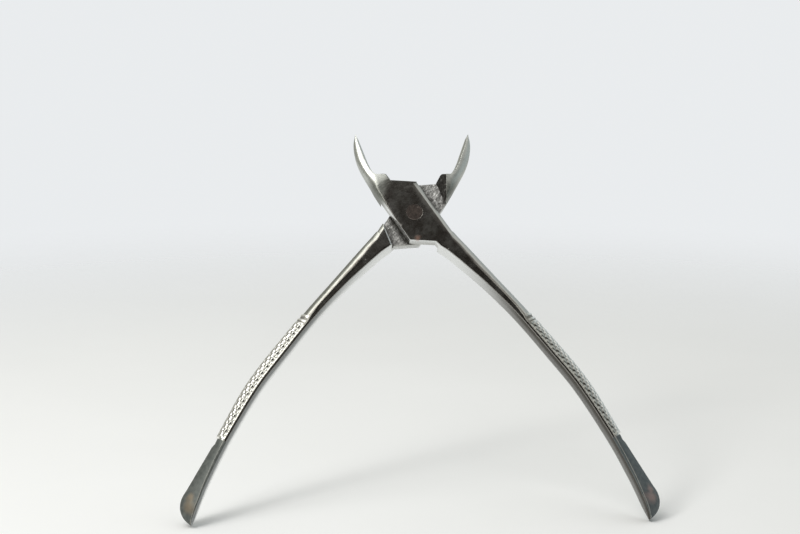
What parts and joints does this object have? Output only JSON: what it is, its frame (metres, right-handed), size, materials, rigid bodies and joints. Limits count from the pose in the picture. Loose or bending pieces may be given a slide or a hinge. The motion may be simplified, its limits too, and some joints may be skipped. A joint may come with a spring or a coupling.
{
  "type": "cuticle nipper",
  "caption": "Steel hand nipper for nails and cuticles: two crossed levers on a flush pivot rivet, with claw-shaped jaws and bowed handles that carry a knurled grip band.",
  "frame": {"origin": "on the hinge axis, in the flat back face that the tool lies on", "axes": "+X to the right seen from the front, +Y out of the back face along the hinge axis, +Z from the pivot towards the jaw tips"},
  "size_m": [0.1196, 0.0062, 0.1047],
  "materials": {
    "lever_steel": "worn satin steel, dark polished flats, rough recesses",
    "rivet_steel": "ground flush, dark"
  },
  "bodies": {
    "rear_half": {"rear_lever": "lever_steel", "pivot_rivet": "rivet_steel"},
    "front_half": {"front_lever": "lever_steel"}
  },
  "joints": [
    {"name": "pivot", "type": "hinge", "parent": "rear_half", "child": "front_half", "pos_m": [0, -0.0031, 0], "axis": [0, 1, 0], "range_deg": [-38, 65.6]}
  ]
}
